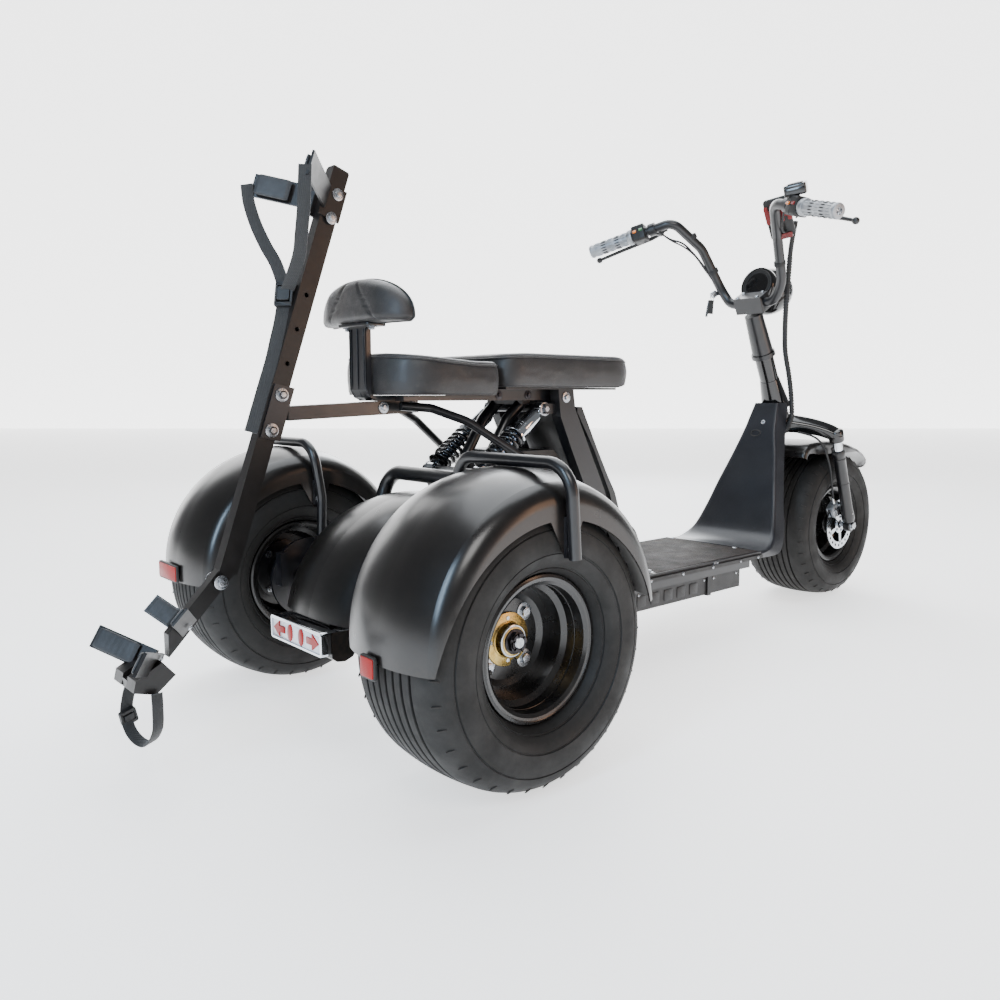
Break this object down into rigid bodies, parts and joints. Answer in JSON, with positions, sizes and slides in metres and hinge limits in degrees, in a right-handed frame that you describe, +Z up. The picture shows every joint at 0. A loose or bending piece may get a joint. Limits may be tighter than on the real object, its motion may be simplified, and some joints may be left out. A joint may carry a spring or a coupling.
{
  "type": "electric golf trike",
  "caption": "Electric three-wheeled golf trike with fat turf tyres, straddle saddle, back rest and a leaning rear rack for a golf bag",
  "frame": {"origin": "centre of the footprint box, on the ground", "axes": "+X forward, in the direction of travel; +Y to the rider's left; +Z up"},
  "size_m": [2.3769, 1.026, 1.1307],
  "materials": {
    "tyre_rubber": "matt",
    "black_rim": "satin",
    "zinc_hub": "satin",
    "bright_steel": "polished",
    "gloss_black": "gloss",
    "satin_black_metal": "satin",
    "dark_plastic": "satin",
    "bare_aluminium": "satin",
    "mast_metal": "satin",
    "grip_rubber": "matt",
    "shield_grey": "satin",
    "deck_mat": "matt",
    "saddle_vinyl": "satin",
    "pad_grey": "matt",
    "strap_web": "matt",
    "red_lens": "gloss"
  },
  "bodies": {
    "frame": {"backrest_pad": "saddle_vinyl", "backrest_post": "satin_black_metal", "battery_case": "dark_plastic", "controller_case": "dark_plastic", "cradle_pads": "pad_grey", "fender_bars": "satin_black_metal", "fender_center": "dark_plastic", "foot_board": "deck_mat", "frame_loom": "grip_rubber", "front_cover": "satin_black_metal", "head_tube": "gloss_black", "leg_shield": "shield_grey", "main_frame": "satin_black_metal", "rack_bar": "satin_black_metal", "rack_foot": "satin_black_metal", "rack_mast": "mast_metal", "rack_straps": "strap_web", "rear_axle": "satin_black_metal", "rear_fenders": "dark_plastic", "rear_struts": "satin_black_metal", "reflectors": "red_lens", "seat_bed": "satin_black_metal", "seat_frame": "satin_black_metal", "seat_front": "saddle_vinyl", "seat_rear": "saddle_vinyl", "shock_absorbers": "bare_aluminium", "shock_springs": "grip_rubber", "swing_arm": "satin_black_metal", "tail_lamp": "red_lens"},
    "steering": {"fork_crown": "gloss_black", "fork_tubes": "bright_steel", "fork_sliders": "satin_black_metal", "front_fender": "dark_plastic", "brake_caliper": "bare_aluminium", "brake_hose": "grip_rubber", "steering_column": "gloss_black", "handlebar": "satin_black_metal", "grips": "grip_rubber", "switch_boxes": "dark_plastic", "brake_levers": "bare_aluminium", "phone_holder": "dark_plastic", "headlamp": "gloss_black", "wire_loom": "grip_rubber"},
    "front_wheel": {"front_tyre": "tyre_rubber", "front_rim": "black_rim", "brake_disc": "bright_steel"},
    "rear_wheel_left": {"rear_tyre_left": "tyre_rubber", "rear_rim_left": "black_rim", "rear_hub_left": "zinc_hub"},
    "rear_wheel_right": {"rear_tyre_right": "tyre_rubber", "rear_rim_right": "black_rim", "rear_hub_right": "zinc_hub"}
  },
  "joints": [
    {"name": "steer", "type": "hinge", "parent": "frame", "child": "steering", "pos_m": [0.7005, 0, 0.585], "axis": [-0.468, 0, 0.8837], "range_deg": [-35, 35]},
    {"name": "front_wheel_spin", "type": "hinge", "parent": "steering", "child": "front_wheel", "pos_m": [0.9135, 0, 0.2235], "axis": [0, 1, 0], "continuous": true},
    {"name": "rear_wheel_left_spin", "type": "hinge", "parent": "frame", "child": "rear_wheel_left", "pos_m": [-0.6995, 0.3725, 0.2286], "axis": [0, 1, 0], "continuous": true},
    {"name": "rear_wheel_right_spin", "type": "hinge", "parent": "frame", "child": "rear_wheel_right", "pos_m": [-0.6995, -0.3725, 0.2286], "axis": [0, 1, 0], "continuous": true}
  ]
}
